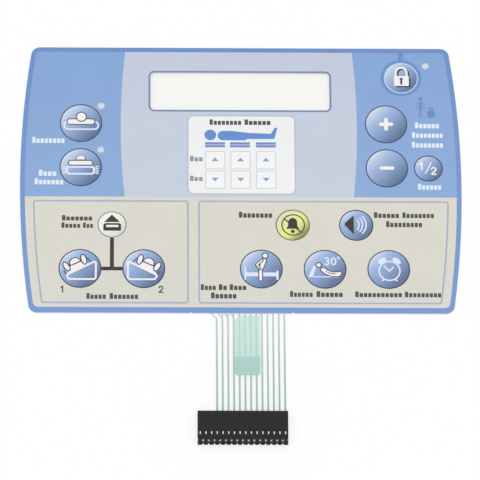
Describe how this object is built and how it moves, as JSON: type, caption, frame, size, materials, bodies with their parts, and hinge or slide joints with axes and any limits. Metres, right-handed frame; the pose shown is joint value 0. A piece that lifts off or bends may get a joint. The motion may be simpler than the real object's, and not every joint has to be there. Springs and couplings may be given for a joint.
{
  "type": "membrane keypad",
  "caption": "Thin laminated switch panel with bowed sides, round printed keys and a clear display window, and a short flat printed tail ending in a black row receptacle.",
  "frame": {"origin": "middle of the panel's rear face, on the release liner that it lies on", "axes": "+X across the panel to the right as seen from the front, +Y up the panel, +Z out of the printed face; the tail leaves the -Y edge"},
  "size_m": [0.2016, 0.1989, 0.0036],
  "materials": {
    "overlay": "clear polyester, fine matte texture",
    "border_ink": "screen-printed blue ink",
    "side_ink": "screen-printed light blue ink",
    "centre_ink": "screen-printed pale grey-blue ink",
    "lower_ink": "screen-printed beige ink",
    "white_ink": "screen-printed white ink",
    "window_line_ink": "screen-printed blue line",
    "box_line_ink": "screen-printed pale blue line",
    "dark_ink": "screen-printed dark ink",
    "key_blue_ink": "printed key, shaded blue",
    "key_yellow_ink": "printed key, shaded yellow",
    "key_white_ink": "printed key, white",
    "key_square_ink": "printed square key, pale grey",
    "adhesive": "clear acrylic adhesive",
    "spacer": "white polyester spacer",
    "dome_film": "film with steel snap domes",
    "led": "moulded lens",
    "circuit": "clear polyester with grey printed traces",
    "liner": "silicone-coated release paper",
    "cover": "translucent green insulating film",
    "housing": "moulded black plastic",
    "contact": "pale plated metal"
  },
  "bodies": {
    "root": {"overlay_film": "overlay", "print_border": "border_ink", "print_lock_ring": "border_ink", "print_left_field": "side_ink", "print_right_field": "side_ink", "print_centre_field": "centre_ink", "print_lower_field": "lower_ink", "print_comfort_panel": "white_ink", "print_window_line": "window_line_ink", "print_left_box": "box_line_ink", "print_right_box": "box_line_ink", "print_turn_stem": "dark_ink", "key_normal": "key_blue_ink", "key_maximum": "key_blue_ink", "key_plus": "key_blue_ink", "key_minus": "key_blue_ink", "key_units": "key_blue_ink", "key_lock": "key_blue_ink", "key_turn_right": "key_blue_ink", "key_turn_left": "key_blue_ink", "key_turn_stop": "key_white_ink", "key_bed_exit": "key_blue_ink", "key_head_angle": "key_blue_ink", "key_timer": "key_blue_ink", "key_alarm_silence": "key_yellow_ink", "key_volume": "key_blue_ink", "key_zone_1_firmer": "key_square_ink", "key_zone_1_softer": "key_square_ink", "key_zone_2_firmer": "key_square_ink", "key_zone_2_softer": "key_square_ink", "key_zone_3_firmer": "key_square_ink", "key_zone_3_softer": "key_square_ink", "top_adhesive": "adhesive", "dome_sheet": "dome_film", "spacer": "spacer", "led_normal": "led", "led_maximum": "led", "led_lock": "led", "circuit_layer": "circuit", "rear_adhesive": "adhesive", "release_liner": "liner", "tail_cover_film": "cover", "connector_housing": "housing", "contact_01": "contact", "contact_02": "contact", "contact_03": "contact", "contact_04": "contact", "contact_05": "contact", "contact_06": "contact", "contact_07": "contact", "contact_08": "contact", "contact_09": "contact", "contact_10": "contact", "contact_11": "contact", "contact_12": "contact", "contact_13": "contact", "contact_14": "contact", "contact_15": "contact", "contact_16": "contact"}
  },
  "joints": []
}
